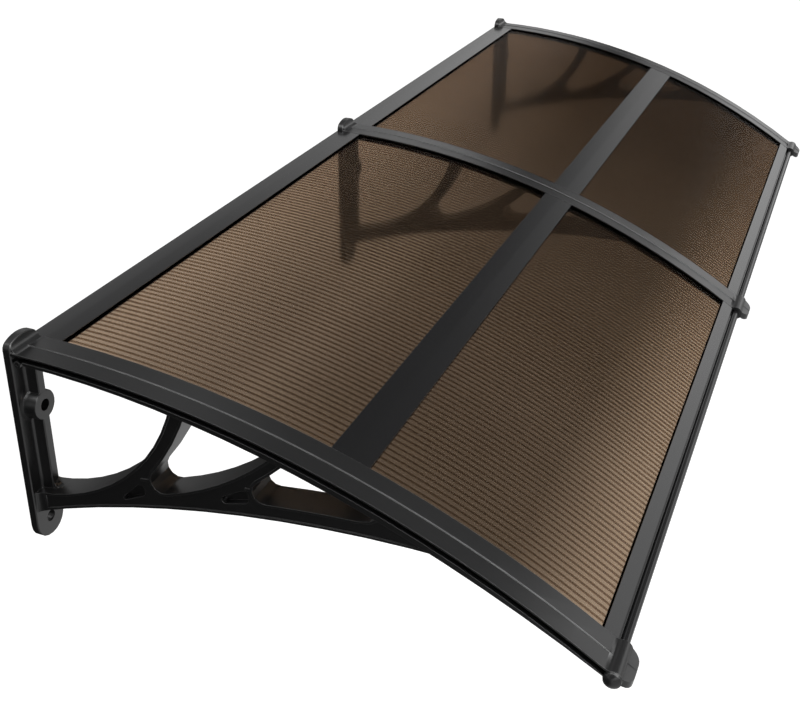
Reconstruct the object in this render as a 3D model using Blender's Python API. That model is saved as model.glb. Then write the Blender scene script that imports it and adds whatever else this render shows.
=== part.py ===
# Curved door canopy: three moulded wall brackets carry two bays of twin-wall sheet held in black bars.
#
# Metres, +Z up. The wall is the plane y = 0 and the canopy reaches out along -Y, with its width along X.
# The origin is on the wall, in the middle of the middle bracket's wall plate.
# Side-view points are (depth, height): depth is the distance from the wall and height is z.
# "Below" is a distance under the arc of the arm's top, square to that arc.

import math

import bmesh
import bpy
from mathutils import Matrix, Vector

# Overall layout
BRACKET_SPACING = 0.972
GAP = 0.0003  # left between pieces that touch

# Wall plate, with a round foot, an arched head and two fixing holes
PLATE_HEIGHT = 0.3033
PLATE_WIDTH = 0.054
PLATE_THICK = 0.011
PLATE_EDGE = 0.0012
HEAD_RADIUS = 0.049
HEAD_CORNER = 0.0105
HOLE_ACROSS = 0.016
FOOT_HOLE_RISE = 0.0286  # above the foot's end
BOSS_ACROSS = 0.040
BOSS_REACH = 0.0294
BOSS_DROP = 0.0988  # below the plate's top
BOSS_FILLET = 0.0055
BOSS_EDGE = 0.001

# Column web between the plate and the openings
COLUMN_THICK = 0.013
COLUMN_REACH = 0.0291
COLUMN_FILLET = 0.005
COLUMN_EDGE = 0.0012
COLUMN_FOOT = 0.008  # radius where the column runs into the strut

# The arm is an arc about an axis below the wall end: flange, slot for the bars and sheets, ledge
ARC_RADIUS = 1.4359
ARC_SETBACK = 0.0177  # of the arc's axis behind the wall
ARM_DROP = 0.0157  # of the arm's top below the plate's top, at the wall
ARM_WIDTH = 0.054
FLANGE_THICK = 0.0022
SLOT_HEIGHT = 0.0068
LEDGE_START = 0.0275  # in front of the pin
LEDGE_AT_WALL = 0.0045
LEDGE_AT_HEAD = 0.0012
LEDGE_BULGE = 0.0054
LEDGE_LEAN = 1.8  # above one, the bulge is nearer to the head
ARM_STEPS = 16
RIDGE_WIDTH = 0.0024
RIDGE_HEIGHT = 0.0009
RIDGE_END = 0.0075  # before the bead
PLATE_FILLET = 0.010

# Round pin across the arm's rear end, under the flange
PIN_RADIUS = 0.0047
PIN_DEPTH = 0.0197
PIN_BELOW = 0.0142
PIN_BORE = 0.0016
PIN_BORE_DEEP = 0.005

# Strut and braces below the arm. Each curve is a circle, its centre's height taken from the plate's top
WAIST_WIDTH = 0.039
STRUT_WIDTH = 0.043
WAIST_END = 0.100
TAPER_END = 0.400
FLARE_SPREAD = 0.006
FLARE_LENGTH = 0.014
STRUT_DEEP = 0.0208
STRUT_DEPTH = 0.5425
STRUT_HEIGHT = -1.6924
STRUT_RADIUS = 1.533
SWEEP_DEPTH = -0.0118
SWEEP_HEIGHT = 0.0267
SWEEP_RADIUS = 0.2523
BRACE_DEPTH = -0.0785
BRACE_HEIGHT = 0.0740
BRACE_RADIUS = 0.3525
OUTER_DEPTH = 0.0964
OUTER_HEIGHT = 0.1870
OUTER_RADIUS = 0.3790
OUTER_BRACE_WIDTH = 0.0163
MIDDLE_CORNER = 0.0165
FRONT_CORNER = 0.015
TIP_RADIUS = 0.040
TIP_DEPTH = 0.470
RIM_WIDTH = 0.0032
RECESS_DEEP = 0.0018

# Hollows where a brace meets the strut, placed from the round corner of the opening in front of them
POCKET_DEEP = 0.010
BRIDGE_WIDTH = 0.0035
MIDDLE_POCKET_GAP = 0.011  # to the opening's round corner
MIDDLE_POCKET_LENGTH = 0.042
MIDDLE_POCKET_HEIGHT = 0.024
MIDDLE_POCKET_FALL = 0.044  # from its top corner to its tip
MIDDLE_POCKET_DROP = 0.0035  # of its top corner below the round corner's centre
FRONT_POCKET_GAP = 0.006
FRONT_POCKET_LENGTH = 0.037
FRONT_POCKET_HEIGHT = 0.021
FRONT_POCKET_FALL = 0.021
FRONT_POCKET_TAIL = 0.010

# Head at the front of the arm: a saddle over the front bar's bead, and the nose
BEAD_DEPTH = 0.7783
BEAD_BELOW = 0.0050
BEAD_RADIUS = 0.0060
BEAD_BORE = 0.0041
SADDLE_RADIUS = 0.0113
SADDLE_FILLET = 0.008
NOSE_REACH = 0.0203  # beyond the bead, along the arm
NOSE_HALF_WIDTH = 0.0265
NOSE_CORNER = 0.016
NOSE_RISE = 0.0036
NOSE_HEIGHT = 0.0125
NOSE_EDGE = 0.0025
NOSE_LEAN = 10  # degrees that its front leans back

# Bars, extruded along the width. Their tops are flush with the arms, so their ends are cut back below the flange
BAR_SINK = 0.0005
LIP_THICK = 0.0012
BAR_WEB = 0.003
REAR_BAR_START = 0.0004
REAR_BAR_WIDTH = 0.0466
REAR_WEB_START = 0.0255
MIDDLE_BAR_DEPTH = 0.4415
MIDDLE_BAR_WIDTH = 0.049
FRONT_BAR_WIDTH = 0.0185
FRONT_BAR_GROOVE = 0.0073  # from its front face to the bead's axis
FRONT_BAR_EDGE = 0.002
NECK_THICK = 0.0025

# Twin-wall sheet: its ribs run down the slope, and every eighth rib of the real pitch is modelled
RIB_PITCH = 0.0105
RIBS_PER_MODELLED = 8
SKIN_THICK = 0.0006
RIB_THICK = 0.0007
SHEET_THICK = 0.004
SHEET_LIFT = 0.0004  # above the bars' lower lips
SHEET_STEPS = 4
SHEET_END_GAP = 0.0015
SHEET_SIDE_GAP = 0.001

# Plugs and screws
PLUG_REACH = 0.0077
PLUG_SPIGOT = 0.015
SCREW_SHANK = 0.0030
SCREW_HEAD = 0.0068
SCREW_HEAD_HEIGHT = 0.0022
SCREW_BITE = 0.001
SCREW_INSET = 0.009  # from a bar's open edge
SCREW_OUT = 0.0225  # from the bracket's middle, across the width

plate_top = PLATE_HEIGHT / 2
foot_height = PLATE_WIDTH / 2 - plate_top
foot_hole_height = FOOT_HOLE_RISE - plate_top
boss_height = plate_top - BOSS_DROP
arc_centre = (-ARC_SETBACK, plate_top - ARM_DROP - math.sqrt(ARC_RADIUS**2 - ARC_SETBACK**2))
slot_floor = FLANGE_THICK + SLOT_HEIGHT
in_ledge = slot_floor + LEDGE_AT_HEAD / 3
bar_bottom = slot_floor - GAP
bar_neck = FLANGE_THICK + GAP
sheet_top = bar_bottom - LIP_THICK - SHEET_LIFT - SHEET_THICK
front_face = BEAD_DEPTH - FRONT_BAR_GROOVE
front_start = front_face - FRONT_BAR_WIDTH
half_arm = ARM_WIDTH / 2
half_waist = WAIST_WIDTH / 2
half_strut = STRUT_WIDTH / 2
half_column = COLUMN_THICK / 2
half_bay = BRACKET_SPACING / 2
tunnel_radius = BEAD_RADIUS + GAP
cutter_half = ARM_WIDTH  # a cutter this wide passes every side face
strut_circle = ((STRUT_DEPTH, plate_top + STRUT_HEIGHT), STRUT_RADIUS)
sweep_circle = ((SWEEP_DEPTH, plate_top + SWEEP_HEIGHT), SWEEP_RADIUS)
brace_circle = ((BRACE_DEPTH, plate_top + BRACE_HEIGHT), BRACE_RADIUS)
outer_circle = ((OUTER_DEPTH, plate_top + OUTER_HEIGHT), OUTER_RADIUS)
bar_spans = {
    "rear": (REAR_BAR_START, REAR_BAR_START + REAR_BAR_WIDTH),
    "middle": (MIDDLE_BAR_DEPTH - MIDDLE_BAR_WIDTH / 2, MIDDLE_BAR_DEPTH + MIDDLE_BAR_WIDTH / 2),
    "front": (front_start, front_face),
}
web_spans = {
    "rear": (REAR_WEB_START, REAR_WEB_START + BAR_WEB),
    "middle": (MIDDLE_BAR_DEPTH - BAR_WEB / 2, MIDDLE_BAR_DEPTH + BAR_WEB / 2),
    "front": (front_face - BAR_WEB, front_face),
}
screw_depths = {
    "rear": bar_spans["rear"][1] - SCREW_INSET,
    "middle": bar_spans["middle"][0] + SCREW_INSET,
    "front": bar_spans["front"][0] + SCREW_INSET,
}
bracket_places = {"left": -BRACKET_SPACING, "middle": 0.0, "right": BRACKET_SPACING}
bay_places = {"left": -half_bay, "right": half_bay}


def clear_scene():
    for old in list(bpy.data.objects):
        bpy.data.objects.remove(old, do_unlink=True)


def make_material(name, colour, roughness, metallic=0.0, alpha=1.0):
    material = bpy.data.materials.new(name)
    material.use_nodes = True
    shader = material.node_tree.nodes["Principled BSDF"]
    shader.inputs["Base Color"].default_value = (*colour, 1.0)
    shader.inputs["Roughness"].default_value = roughness
    shader.inputs["Metallic"].default_value = metallic
    shader.inputs["Alpha"].default_value = alpha
    material.diffuse_color = (*colour, alpha)
    return material


# Side-view geometry


def arc_angle(depth):
    """Angle from the vertical, about the arm's axis, of the point of the arm's top at this depth."""
    return math.asin((depth - arc_centre[0]) / ARC_RADIUS)


def along_arc(depth, below=0.0):
    """The side-view point this far below the arm's top, square to the arc."""
    angle = arc_angle(depth)
    radius = ARC_RADIUS - below
    return (arc_centre[0] + radius * math.sin(angle), arc_centre[1] + radius * math.cos(angle))


def arc_run(start, end, below, steps):
    return [along_arc(start + (end - start) * i / steps, below) for i in range(steps + 1)]


def arm_bottom(depth):
    """How far the arm's underside is below its top: the arm is deepest beyond its middle."""
    share = min(max(depth / BEAD_DEPTH, 0.0), 1.0)
    leaning = share**LEDGE_LEAN
    ledge = LEDGE_AT_WALL + (LEDGE_AT_HEAD - LEDGE_AT_WALL) * share
    return slot_floor + ledge + LEDGE_BULGE * 4 * leaning * (1 - leaning)


def circle_point(centre, radius, angle):
    return (centre[0] + radius * math.cos(angle), centre[1] + radius * math.sin(angle))


def circle_run(centre, radius, start, end, steps):
    return [circle_point(centre, radius, start + (end - start) * i / steps) for i in range(steps + 1)]


def angle_to(centre, point):
    return math.atan2(point[1] - centre[1], point[0] - centre[0])


def short_run(centre, radius, start_point, end_point, steps):
    """The shorter arc of this circle between the directions of two points."""
    start = angle_to(centre, start_point)
    turn = (angle_to(centre, end_point) - start + math.pi) % (2 * math.pi) - math.pi
    return circle_run(centre, radius, start, start + turn, steps)


def circles_meet(first, first_radius, second, second_radius):
    """The two points where circles cross, the lower one first."""
    across = Vector((second[0] - first[0], second[1] - first[1]))
    along = (first_radius**2 - second_radius**2 + across.length_squared) / (2 * across.length)
    side = math.sqrt(max(first_radius**2 - along**2, 0.0))
    middle = Vector(first) + across.normalized() * along
    step = Vector((-across.y, across.x)).normalized() * side
    return sorted([tuple(middle + step), tuple(middle - step)], key=lambda point: point[1])


def arm_crossing(centre, radius, below=0.0):
    """The front point where a circle crosses the arc this far below the arm's top."""
    return max(circles_meet(centre, radius, arc_centre, ARC_RADIUS - below), key=lambda point: point[0])


def rounded(corners, radii, steps=2):
    """A polygon with each corner replaced by an arc of its own radius."""
    outline = []
    for i, corner in enumerate(corners):
        here = Vector(corner)
        back = (Vector(corners[i - 1]) - here).normalized()
        ahead = (Vector(corners[(i + 1) % len(corners)]) - here).normalized()
        half = back.angle(ahead) / 2
        centre = here + (back + ahead).normalized() * radii[i] / math.sin(half)
        run = radii[i] / math.tan(half)
        outline += short_run(centre, radii[i], here + back * run, here + ahead * run, steps)
    return outline


# Solids


def new_object(name, bm):
    bmesh.ops.recalc_face_normals(bm, faces=bm.faces)
    mesh = bpy.data.meshes.new(name)
    bm.to_mesh(mesh)
    bm.free()
    solid = bpy.data.objects.new(name, mesh)
    bpy.context.scene.collection.objects.link(solid)
    return solid


def extruded(name, points, push):
    """A flat outline of 3-D points, extruded by the vector push."""
    bm = bmesh.new()
    face = bm.faces.new([bm.verts.new(point) for point in points])
    grown = bmesh.ops.extrude_face_region(bm, geom=[face])
    moved = [item for item in grown["geom"] if isinstance(item, bmesh.types.BMVert)]
    bmesh.ops.translate(bm, verts=moved, vec=push)
    return new_object(name, bm)


def side_prism(name, outline, left, right):
    """A side-view outline extruded across the width, from x = left to x = right."""
    points = [(left, -depth, height) for depth, height in outline]
    return extruded(name, points, (right - left, 0, 0))


def front_prism(name, outline, near, far):
    """A front-view outline of (x, z) extruded away from the wall, between two depths."""
    points = [(x, -near, z) for x, z in outline]
    return extruded(name, points, (0, near - far, 0))


def plan_prism(name, outline, low, high):
    """A plan outline of (x, depth) extruded upwards."""
    points = [(x, -depth, low) for x, depth in outline]
    return extruded(name, points, (0, 0, high - low))


def turned(name, profile, turns, place, axis):
    """A profile of (radius, distance along the axis) turned round. It starts and ends on the axis."""
    bm = bmesh.new()
    rings = []
    for radius, along in profile:
        if radius == 0:
            rings.append([bm.verts.new((0, 0, along))])
            continue
        angles = [2 * math.pi * i / turns for i in range(turns)]
        rings.append([bm.verts.new((radius * math.cos(a), radius * math.sin(a), along)) for a in angles])
    for low, high in zip(rings, rings[1:]):
        for i in range(turns):
            j = (i + 1) % turns
            corners = [low[i % len(low)], low[j % len(low)], high[j % len(high)], high[i % len(high)]]
            bm.faces.new(list(dict.fromkeys(corners)))
    turn = Vector((0, 0, 1)).rotation_difference(Vector(axis)).to_matrix().to_4x4()
    bmesh.ops.transform(bm, matrix=Matrix.Translation(place) @ turn, verts=bm.verts)
    return new_object(name, bm)


def rod(name, radius, start, end, turns):
    """A plain cylinder between two points."""
    axis = Vector(end) - Vector(start)
    profile = [(0, 0), (radius, 0), (radius, axis.length), (0, axis.length)]
    return turned(name, profile, turns, start, axis)


def combine(solid, others, operation):
    """Joins, cuts or intersects a solid with each of the others, which are used up."""
    for other in others:
        modifier = solid.modifiers.new(other.name, "BOOLEAN")
        modifier.operation = operation
        modifier.object = other
        modifier.solver = "EXACT"
    bpy.context.view_layer.update()
    evaluated = solid.evaluated_get(bpy.context.evaluated_depsgraph_get())
    mesh = bpy.data.meshes.new_from_object(evaluated)
    solid.modifiers.clear()
    solid.data = mesh
    for other in others:
        bpy.data.objects.remove(other, do_unlink=True)
    return solid


def join(solid, *others):
    return combine(solid, others, "UNION")


def cut(solid, *others):
    return combine(solid, others, "DIFFERENCE")


def swept(name, faces, start, end, steps):
    """A section of (x, below) faces, swept along the arm between two depths."""
    bm = bmesh.new()
    angle = arc_angle(start)
    corners = {}
    for face in faces:
        for x, below in face:
            radius = ARC_RADIUS - below
            depth = arc_centre[0] + radius * math.sin(angle)
            height = arc_centre[1] + radius * math.cos(angle)
            if (x, below) not in corners:
                corners[x, below] = bm.verts.new((x, -depth, height))
        bm.faces.new([corners[point] for point in face])
    bmesh.ops.spin(
        bm,
        geom=bm.verts[:] + bm.edges[:] + bm.faces[:],
        cent=(0, -arc_centre[0], arc_centre[1]),
        axis=(1, 0, 0),
        angle=arc_angle(end) - angle,
        steps=steps,
    )
    return new_object(name, bm)


def bevel_edges(solid, chosen, offset):
    """Bevels the edges of the faces whose normal passes the test."""
    bm = bmesh.new()
    bm.from_mesh(solid.data)
    bm.normal_update()
    rim = {edge for face in bm.faces if chosen(face.normal) for edge in face.edges}
    bmesh.ops.bevel(bm, geom=list(rim), offset=offset, segments=1, affect="EDGES")
    bm.to_mesh(solid.data)
    bm.free()
    return solid


# Bracket: the openings and outline of the strut and braces. grow moves each edge outwards


def sweep_opening(grow=0.0):
    centre, radius = sweep_circle
    behind_wall = -PLATE_THICK
    start = -math.acos((behind_wall - centre[0]) / radius)
    end = angle_to(centre, arm_crossing(centre, radius + grow))
    sweep = circle_run(centre, radius + grow, start, end, 13)
    return sweep + [(sweep[-1][0], plate_top), (behind_wall, plate_top)]


def middle_corner(grow=0.0):
    """Centre of the round corner between the outer brace and the first brace."""
    outer, outer_radius = outer_circle
    brace, brace_radius = brace_circle
    within = outer_radius + grow - MIDDLE_CORNER - grow
    return circles_meet(outer, within, brace, brace_radius - grow + MIDDLE_CORNER + grow)[0]


def middle_opening(grow=0.0):
    outer, outer_radius = outer_circle
    brace, brace_radius = brace_circle
    corner = middle_corner(grow)
    outer_touch = circle_point(outer, outer_radius, angle_to(outer, corner))
    brace_touch = circle_point(brace, brace_radius, angle_to(brace, corner))
    lower_start = angle_to(outer, arm_crossing(outer, outer_radius + grow))
    lower_end = angle_to(outer, corner)
    upper_start = angle_to(brace, corner)
    upper_end = angle_to(brace, arm_crossing(brace, brace_radius - grow))
    lower = circle_run(outer, outer_radius + grow, lower_start, lower_end, 7)
    bend = short_run(corner, MIDDLE_CORNER + grow, outer_touch, brace_touch, 5)
    upper = circle_run(brace, brace_radius - grow, upper_start, upper_end, 4)
    return lower + bend[1:] + upper[1:]


def front_corner():
    """Centre of the round corner between the outer brace and the strut."""
    brace, brace_radius = outer_circle
    strut, strut_radius = strut_circle
    from_brace = brace_radius + OUTER_BRACE_WIDTH + FRONT_CORNER
    from_strut = strut_radius + STRUT_DEEP + FRONT_CORNER
    return max(circles_meet(brace, from_brace, strut, from_strut), key=lambda point: point[1])


def front_opening(grow=0.0):
    brace, brace_radius = outer_circle
    strut, strut_radius = strut_circle
    brace_radius += OUTER_BRACE_WIDTH - grow
    strut_radius += STRUT_DEEP - grow
    tip_radius = TIP_RADIUS + grow
    corner = front_corner()
    tip_angle = math.acos((TIP_DEPTH - strut[0]) / (strut_radius + tip_radius))
    tip = circle_point(strut, strut_radius + tip_radius, tip_angle)
    left_start = angle_to(brace, arm_crossing(brace, brace_radius))
    left_end = angle_to(brace, corner)
    floor_start = angle_to(strut, corner)
    left = circle_run(brace, brace_radius, left_start, left_end, 3)
    bend = short_run(corner, FRONT_CORNER + grow, brace, strut, 5)
    floor = circle_run(strut, strut_radius, floor_start, tip_angle, 3)
    rise = circle_run(tip, tip_radius, tip_angle - math.pi, 0, 4)
    return left + bend[1:] + floor[1:] + rise[1:]


def strut_outline(inset, top_below, start):
    """Outline of the strut with its braces: the strut's underside and a run along the arm."""
    strut, strut_radius = strut_circle
    strut_radius += inset
    tip = arm_crossing(strut, strut_radius, top_below)
    tip_angle = math.asin((tip[0] - arc_centre[0]) / (ARC_RADIUS - top_below))
    tip_depth = arc_centre[0] + ARC_RADIUS * math.sin(tip_angle)
    first = math.acos((start - strut[0]) / strut_radius)
    under = circle_run(strut, strut_radius, first, angle_to(strut, tip), 11)
    return under[:-1] + [tip] + arc_run(tip_depth, start, top_below, 6)[1:]


def strut_edge(inset=0.0):
    """One side of the strut in plan: flared at the plate, a waist, and wider at the front."""
    edge = []
    for i in range(5):
        angle = math.pi / 2 * i / 4
        x = half_waist + FLARE_SPREAD * (1 - math.sin(angle))
        edge.append((x - inset, PLATE_THICK + FLARE_LENGTH * (1 - math.cos(angle))))
    return edge + [(half_waist - inset, WAIST_END), (half_strut - inset, TAPER_END), (half_strut - inset, BEAD_DEPTH)]


def strut_side_cutters():
    edge = strut_edge()
    beyond = [(cutter_half, BEAD_DEPTH), (cutter_half, 0), (edge[0][0], 0)]
    cutters = []
    for side in (-1, 1):
        outline = [(side * x, depth) for x, depth in edge + beyond]
        cutters.append(plan_prism("side", outline, -PLATE_HEIGHT, PLATE_HEIGHT))
    return cutters


def strut_frame():
    openings = (sweep_opening, middle_opening, front_opening)
    outline = strut_outline(0, in_ledge, PLATE_THICK / 2)
    wide = cutter_half - PLATE_THICK
    frame = side_prism("frame", outline, -wide, wide)
    cut(frame, *[side_prism("opening", shape(), -cutter_half, cutter_half) for shape in openings])
    cut(frame, *strut_side_cutters())
    face_top = slot_floor + LEDGE_BULGE + RIM_WIDTH
    face = strut_outline(RIM_WIDTH, face_top, PLATE_THICK + FLARE_LENGTH)
    recess = side_prism("recess", face, -wide, wide)
    edge = strut_edge(RECESS_DEEP)
    inside = [(edge[0][0], 0)] + edge
    plan = inside + [(-x, depth) for x, depth in reversed(inside)]
    core = plan_prism("core", plan, -PLATE_HEIGHT, PLATE_HEIGHT)
    rims = [side_prism("rim", shape(RIM_WIDTH), -cutter_half, cutter_half) for shape in openings]
    cut(recess, core, *rims, *pocket_bridges())
    return cut(frame, recess, *strut_pockets())


def middle_pocket():
    """Corners of the hollow behind the middle opening: its tip, its top corner and the one below."""
    centre = middle_corner()
    right = centre[0] - MIDDLE_CORNER - MIDDLE_POCKET_GAP
    top = centre[1] - MIDDLE_POCKET_DROP
    tip = (right - MIDDLE_POCKET_LENGTH, top - MIDDLE_POCKET_FALL)
    return [tip, (right, top), (right, top - MIDDLE_POCKET_HEIGHT)]


def front_pocket():
    """Corners of the hollow behind the front opening, from its tail's foot round to its top corner."""
    centre = front_corner()
    right = centre[0] - FRONT_CORNER - FRONT_POCKET_GAP
    top = centre[1]
    left = right - FRONT_POCKET_LENGTH
    tail = top - FRONT_POCKET_FALL
    return [(left, tail - FRONT_POCKET_TAIL), (left, tail), (right, top), (right, top - FRONT_POCKET_HEIGHT)]


def pocket_bridges():
    """Raised ribs from each hollow's top corner to the opening's rim."""
    bridges = []
    for top, centre, radius in (
        (middle_pocket()[1], middle_corner(), MIDDLE_CORNER),
        (front_pocket()[2], front_corner(), FRONT_CORNER),
    ):
        way = (Vector(centre) - Vector(top)).normalized()
        side = Vector((-way.y, way.x)) * BRIDGE_WIDTH / 2
        start = Vector(top) - way * BRIDGE_WIDTH
        end = Vector(centre) - way * radius
        outline = [tuple(start + side), tuple(end + side), tuple(end - side), tuple(start - side)]
        bridges.append(side_prism("bridge", outline, -cutter_half, cutter_half))
    return bridges


def strut_pockets():
    """The deep hollows where each brace meets the strut, on both side faces."""
    tail = FRONT_POCKET_TAIL * 0.4
    tall = FRONT_POCKET_HEIGHT * 0.28
    low = MIDDLE_POCKET_HEIGHT * 0.1
    round_top = MIDDLE_POCKET_HEIGHT * 0.25
    shapes = [
        (middle_pocket(), [low, round_top, round_top * 0.8]),
        (front_pocket(), [tail, tail, tall, tall]),
    ]
    pockets = []
    for corners, radii in shapes:
        outline = rounded(corners, radii)
        for side in (-1, 1):
            ends = sorted([side * (half_waist - POCKET_DEEP), side * cutter_half])
            pockets.append(side_prism("pocket", outline, *ends))
    return pockets


# Bracket: plate, column, arm and head


def plate_outline(inset=0.0):
    """Front view of the plate: a round foot, straight sides and an arched head with round corners."""
    half = PLATE_WIDTH / 2
    head = (0, plate_top - HEAD_RADIUS)
    aside = half - HEAD_CORNER
    lift = math.sqrt((HEAD_RADIUS - HEAD_CORNER) ** 2 - aside**2)
    turn = math.atan2(lift, aside)
    foot = circle_run((0, foot_height), half - inset, -math.pi, 0, 10)
    right = circle_run((aside, head[1] + lift), HEAD_CORNER - inset, 0, turn, 3)
    arch = circle_run(head, HEAD_RADIUS - inset, turn, math.pi - turn, 6)
    left = circle_run((-aside, head[1] + lift), HEAD_CORNER - inset, math.pi - turn, math.pi, 3)
    return foot + right + arch[1:-1] + left


def wall_plate():
    plate = front_prism("bracket", plate_outline(), 0, PLATE_THICK)
    return bevel_edges(plate, lambda normal: -normal.y > abs(normal.x) + abs(normal.z), PLATE_EDGE)


def boss():
    """Round pad about the upper fixing hole, with a hollow curve at its foot."""
    radius = BOSS_ACROSS / 2
    foot = circle_run((radius + BOSS_FILLET, BOSS_FILLET), BOSS_FILLET, 1.5 * math.pi, math.pi, 2)
    profile = [(0, 0), (radius + BOSS_FILLET, 0)]
    profile += [(across, PLATE_THICK / 2 + along) for across, along in foot]
    length = BOSS_REACH - PLATE_THICK / 2
    profile += [(radius, length - BOSS_EDGE), (radius - BOSS_EDGE, length), (0, length)]
    return turned("boss", profile, 24, (0, -PLATE_THICK / 2, boss_height), (0, -1, 0))


def column():
    """The web up the plate, with hollow curves where it meets the plate."""
    centre = (half_column + COLUMN_FILLET, PLATE_THICK + COLUMN_FILLET)
    foot = circle_run(centre, COLUMN_FILLET, 1.5 * math.pi, math.pi, 3)
    corner = [(half_column, COLUMN_REACH - COLUMN_EDGE), (half_column - COLUMN_EDGE, COLUMN_REACH)]
    half = [(foot[0][0], PLATE_THICK / 2)] + foot + corner
    outline = half + [(-x, depth) for x, depth in reversed(half)]
    low = sweep_circle[0][1] - sweep_circle[1] - STRUT_DEEP / 2
    return plan_prism("column", outline, low, along_arc(COLUMN_REACH, FLANGE_THICK / 2)[1])


def column_foot():
    """The hollow curve where the column's front runs into the strut."""
    sweep, radius = sweep_circle
    depth = COLUMN_REACH + COLUMN_FOOT
    inner = radius - COLUMN_FOOT
    centre = (depth, sweep[1] - math.sqrt(inner**2 - (depth - sweep[0]) ** 2))
    touch = circle_point(sweep, radius, angle_to(sweep, centre))
    curve = short_run(centre, COLUMN_FOOT, (COLUMN_REACH, centre[1]), touch, 4)
    inside = COLUMN_REACH - COLUMN_THICK / 2
    low = touch[1] - STRUT_DEEP / 4
    half = half_column - COLUMN_EDGE
    return side_prism("foot", curve + [(touch[0], low), (inside, low), (inside, curve[0][1])], -half, half)


def arm():
    """The arm as one bar, thinner behind the ledge's start. Its slots are cut later."""
    start = PLATE_THICK - PLATE_EDGE / 2
    end = BEAD_DEPTH - BEAD_RADIUS
    in_slot = FLANGE_THICK + SLOT_HEIGHT / 2
    under = []
    for i in range(ARM_STEPS, -1, -1):
        depth = LEDGE_START + (end - LEDGE_START) * i / ARM_STEPS
        under.append(along_arc(depth, arm_bottom(depth)))
    under += [along_arc(LEDGE_START, in_slot), along_arc(start, in_slot)]
    return side_prism("arm", arc_run(start, end, 0, ARM_STEPS) + under, -half_arm, half_arm)


def arm_ridge():
    """The fine ridge along the middle of the arm's top."""
    half = RIDGE_WIDTH / 2
    section = [(0.0, -RIDGE_HEIGHT), (half, 0.0), (half, FLANGE_THICK / 2), (-half, FLANGE_THICK / 2), (-half, 0.0)]
    return swept("ridge", [section], PLATE_THICK / 2, BEAD_DEPTH - RIDGE_END, ARM_STEPS)


def plate_fillet():
    """The hollow curve where the arm's top runs up into the plate."""
    foot = along_arc(PLATE_THICK + PLATE_FILLET)
    inside = PLATE_THICK / 2
    centre = (PLATE_THICK + PLATE_FILLET, foot[1] + PLATE_FILLET)
    curve = circle_run(centre, PLATE_FILLET, math.pi, 1.5 * math.pi, 5)
    under = [along_arc(foot[0], FLANGE_THICK / 2), along_arc(inside, FLANGE_THICK / 2)]
    block = side_prism("fillet", curve + under + [(inside, centre[1])], -half_arm, half_arm)
    within = front_prism("within", plate_outline(PLATE_EDGE + GAP), 0, COLUMN_REACH)
    return combine(block, [within], "INTERSECT")


def pin():
    """Round pin across the rear end, with a small blind hole in each end."""
    centre = along_arc(PIN_DEPTH, PIN_BELOW)
    body = rod("pin", PIN_RADIUS, across(centre, -half_arm), across(centre, half_arm), 16)
    holes = []
    for side in (-1, 1):
        start = across(centre, side * (half_arm - PIN_BORE_DEEP))
        holes.append(rod("hole", PIN_BORE, start, across(centre, side * cutter_half), 8))
    return cut(body, *holes)


def bead_centre():
    return along_arc(BEAD_DEPTH, BEAD_BELOW)


def across(centre, x):
    """The 3-D point at a side-view point."""
    return (x, -centre[0], centre[1])


def saddle():
    """The round top over the bead, with a hollow curve down to the flange."""
    centre = bead_centre()
    round_top = rod("saddle", SADDLE_RADIUS, across(centre, -half_arm), across(centre, half_arm), 24)
    reach = SADDLE_RADIUS + SADDLE_FILLET
    back = math.sqrt(reach**2 - (SADDLE_FILLET + BEAD_BELOW) ** 2)
    lean = math.atan2(SADDLE_FILLET + BEAD_BELOW, back)
    curve = []
    for i in range(5):
        angle = -math.pi / 2 + (math.pi / 2 - lean) * i / 4
        depth = BEAD_DEPTH - (back - SADDLE_FILLET * math.cos(angle)) * math.cos(arc_angle(BEAD_DEPTH))
        curve.append(along_arc(depth, -SADDLE_FILLET * (1 + math.sin(angle))))
    inside = [along_arc(BEAD_DEPTH, BEAD_BELOW / 2), along_arc(BEAD_DEPTH - 2 * SADDLE_RADIUS, FLANGE_THICK / 2)]
    return join(round_top, side_prism("fillet", curve + inside, -half_arm, half_arm))


def nose():
    """The block in front of the bead. Its top carries on the arm's slope and its front leans back."""
    slope = arc_angle(BEAD_DEPTH)
    lean = math.radians(NOSE_LEAN)
    ahead = Vector((0, -math.cos(slope), -math.sin(slope)))
    up = Vector((0, -math.sin(lean), math.cos(lean)))
    corner = (NOSE_HALF_WIDTH - NOSE_CORNER, NOSE_REACH - NOSE_CORNER)
    front = circle_run(corner, NOSE_CORNER, math.pi / 2, 0, 5)
    half = [(0, NOSE_REACH)] + front + [(NOSE_HALF_WIDTH, 0)]
    outline = half + [(-x, along) for x, along in reversed(half[1:])]
    top = Vector(across(along_arc(BEAD_DEPTH, -NOSE_RISE), 0))
    points = [top + Vector((x, 0, 0)) + ahead * along for x, along in outline]
    block = extruded("nose", points, -up * NOSE_HEIGHT)
    bevel_edges(block, lambda normal: -normal.z > abs(normal.x) + abs(normal.y) / 2, NOSE_EDGE)
    crest = [
        top + Vector((-RIDGE_WIDTH / 2, 0, 0)),
        top + Vector((RIDGE_WIDTH / 2, 0, 0)),
        top + up * RIDGE_HEIGHT,
    ]
    lowered = [point - up * RIDGE_HEIGHT for point in (crest[0], crest[1])]
    ridge = extruded("crest", lowered + [crest[1], crest[2], crest[0]], ahead * (NOSE_REACH - GAP))
    return join(block, ridge)


def plate_holes():
    holes = []
    for height in (boss_height, foot_hole_height):
        start = (0, PLATE_THICK, height)
        end = (0, -BOSS_REACH - PLATE_THICK, height)
        holes.append(rod("hole", HOLE_ACROSS / 2, start, end, 20))
    return holes


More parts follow.
